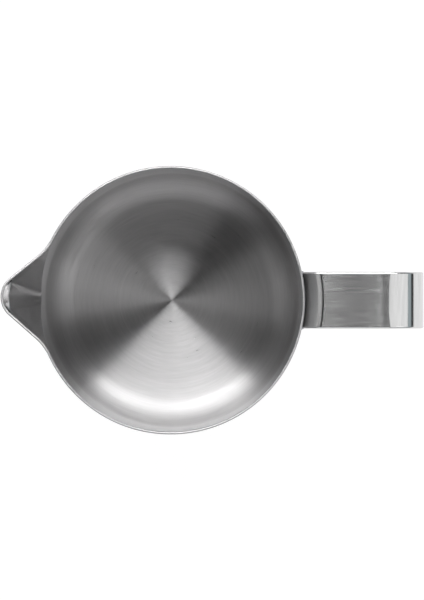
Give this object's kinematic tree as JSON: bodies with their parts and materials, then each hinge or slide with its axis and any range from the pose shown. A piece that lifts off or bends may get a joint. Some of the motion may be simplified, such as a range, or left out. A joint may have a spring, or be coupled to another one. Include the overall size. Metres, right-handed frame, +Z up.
{
  "type": "cream jug",
  "caption": "Straight-sided round metal cream jug with a pressed V-shaped pouring spout and a flat strap handle bent into a closed loop.",
  "frame": {"origin": "on the cup's axis, in the plane that the jug stands on", "axes": "+Z up along the cup's axis; +X from the cup's axis towards the handle; the spout points along -X; +Y to the left of the handle seen from the cup"},
  "size_m": [0.1267, 0.08, 0.066],
  "materials": {
    "brushed_cup": "satin, brushed in circles round the cup's axis, rim ground bright",
    "brushed_spout": "satin, brushed along the spout, with a bright rolled edge",
    "handle_strap": "level runs brushed along the strap, bends and edges polished",
    "solder": "smooth, slightly dull, run and wiped"
  },
  "bodies": {
    "root": {"body": "brushed_cup", "spout": "brushed_spout", "spout_seam": "solder", "handle": "handle_strap", "handle_solder_upper": "solder", "handle_solder_lower": "solder"}
  },
  "joints": []
}
